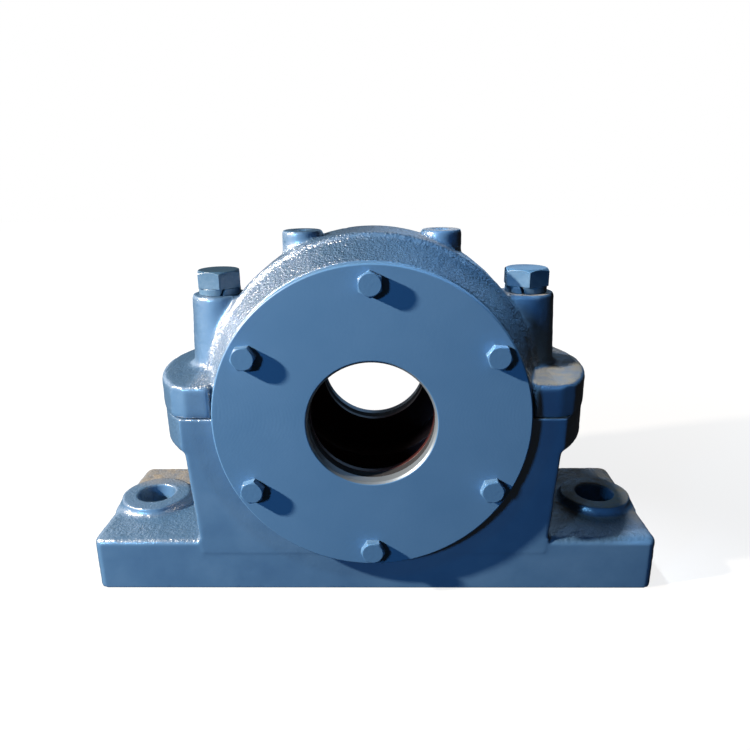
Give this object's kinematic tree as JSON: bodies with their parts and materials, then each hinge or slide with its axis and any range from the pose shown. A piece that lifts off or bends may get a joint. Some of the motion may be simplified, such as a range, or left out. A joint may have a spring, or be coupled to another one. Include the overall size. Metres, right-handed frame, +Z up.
{
  "type": "split bearing housing",
  "caption": "Heavy cast split pillow block housing: a long foot with foundation bolt holes, a bolted cap and a bolted through cover on each end, for a bearing on a horizontal shaft.",
  "frame": {"origin": "centre of the foot's underside, below the middle of the shaft axis", "axes": "+X along the foot, +Y along the shaft from the front cover to the rear cover, +Z up"},
  "size_m": [0.498, 0.187, 0.311],
  "materials": {
    "enamelled_casting": "steel-blue machine enamel over a sand-cast skin",
    "enamelled_cover": "steel-blue machine enamel over a turned face, bare in the shaft opening",
    "enamelled_fastener": "steel-blue machine enamel sprayed over steel fasteners",
    "gasket_fibre": "dark fibre sheet",
    "seal_felt": "grease-dark felt",
    "ground_steel": "ground steel"
  },
  "bodies": {
    "root": {"housing_base": "enamelled_casting", "housing_cap": "enamelled_casting", "front_cover": "enamelled_cover", "rear_cover": "enamelled_cover", "front_gasket": "gasket_fibre", "rear_gasket": "gasket_fibre", "front_seal_ring": "seal_felt", "rear_seal_ring": "seal_felt", "front_cover_bolts": "enamelled_fastener", "rear_cover_bolts": "enamelled_fastener", "cap_bolts": "enamelled_fastener", "cap_lock_washers": "enamelled_fastener", "dowel_pins": "ground_steel", "port_plugs": "enamelled_fastener"}
  },
  "joints": []
}
